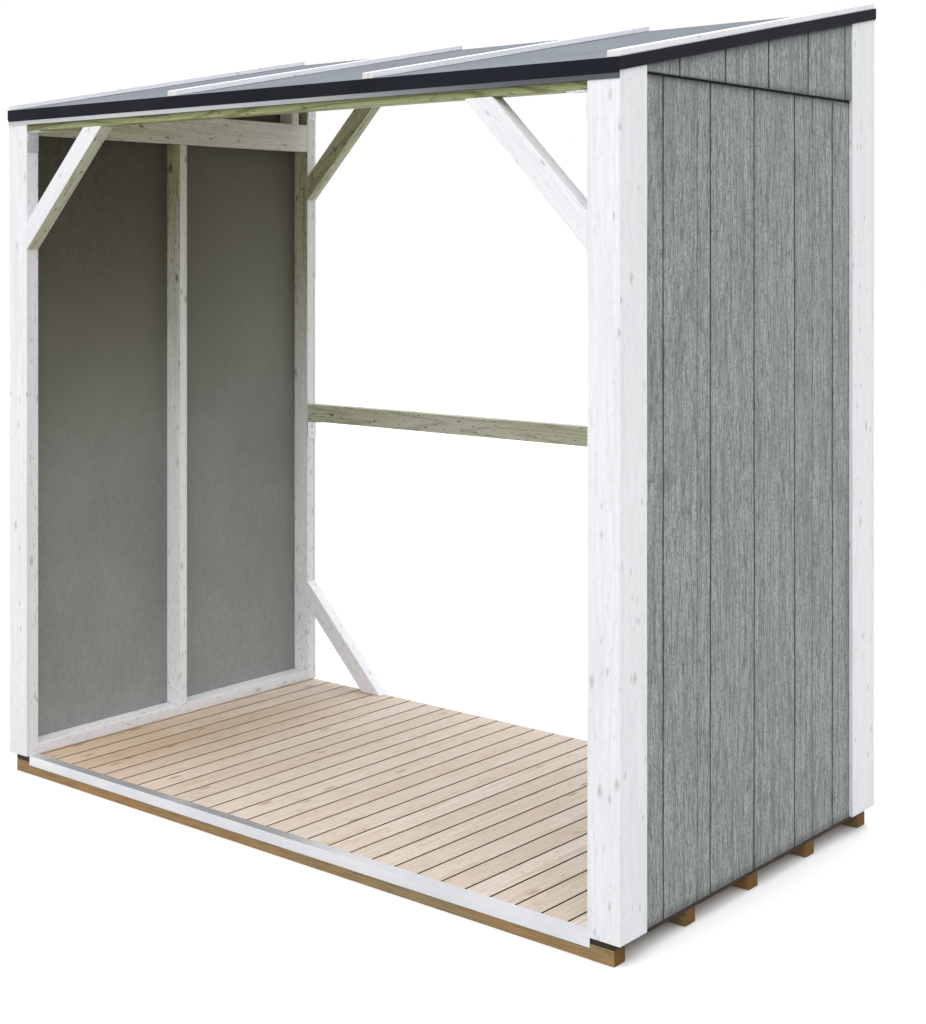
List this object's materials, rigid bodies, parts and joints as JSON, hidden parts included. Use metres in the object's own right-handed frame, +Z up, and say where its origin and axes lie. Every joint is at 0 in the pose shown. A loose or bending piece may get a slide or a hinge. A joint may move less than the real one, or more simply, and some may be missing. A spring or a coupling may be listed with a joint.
{
  "type": "log store",
  "caption": "Open-fronted timber log store with clad ends, a boarded floor on bearers and a felted single-pitch roof with battens.",
  "frame": {"origin": "on the ground under the floor bearers, at the centre of the plan", "axes": "+X along the front to the right seen from the front, +Y from the open front to the back, +Z up"},
  "size_m": [2.348, 1.288, 2.3528],
  "materials": {
    "white_wood": "white glazed, grain and knots show through",
    "grey_cladding": "grey grooved wood-grain panel",
    "floor_wood": "planed, untreated",
    "bearer_wood": "pressure treated",
    "bare_wood": "sawn, untreated",
    "felt": "mineral roofing felt",
    "dark_edge": "dark coated edge strip",
    "pale_metal": "pale satin coating",
    "zinc": "galvanised, perforated"
  },
  "bodies": {
    "root": {"floor_bearers": "bearer_wood", "floor_boards": "floor_wood", "sill_angle": "pale_metal", "left_front_stud": "white_wood", "left_mid_stud": "white_wood", "left_back_stud": "white_wood", "left_bottom_rail": "white_wood", "left_gable_beam": "white_wood", "left_wall_panel": "grey_cladding", "left_gable_cladding": "grey_cladding", "left_front_trim": "white_wood", "left_back_trim": "white_wood", "left_side_trim_front": "white_wood", "left_side_trim_back": "white_wood", "right_front_stud": "white_wood", "right_mid_stud": "white_wood", "right_back_stud": "white_wood", "right_bottom_rail": "white_wood", "right_gable_beam": "white_wood", "right_wall_panel": "grey_cladding", "right_gable_cladding": "grey_cladding", "right_front_trim": "white_wood", "right_back_trim": "white_wood", "right_side_trim_front": "white_wood", "right_side_trim_back": "white_wood", "gable_posts": "white_wood", "front_header": "white_wood", "front_brace_left": "white_wood", "front_brace_right": "white_wood", "back_header": "white_wood", "back_rail": "white_wood", "back_top_brace_left": "white_wood", "back_top_brace_right": "white_wood", "back_foot_brace_left": "white_wood", "back_foot_brace_right": "white_wood", "roof_rafters": "white_wood", "roof_boards": "bare_wood", "roof_felt": "felt", "front_fascia": "pale_metal", "front_edge_strip": "dark_edge", "back_edge_strip": "dark_edge", "left_verge_strip": "dark_edge", "right_verge_strip": "dark_edge", "roof_battens": "white_wood", "angle_brackets": "zinc"}
  },
  "joints": []
}
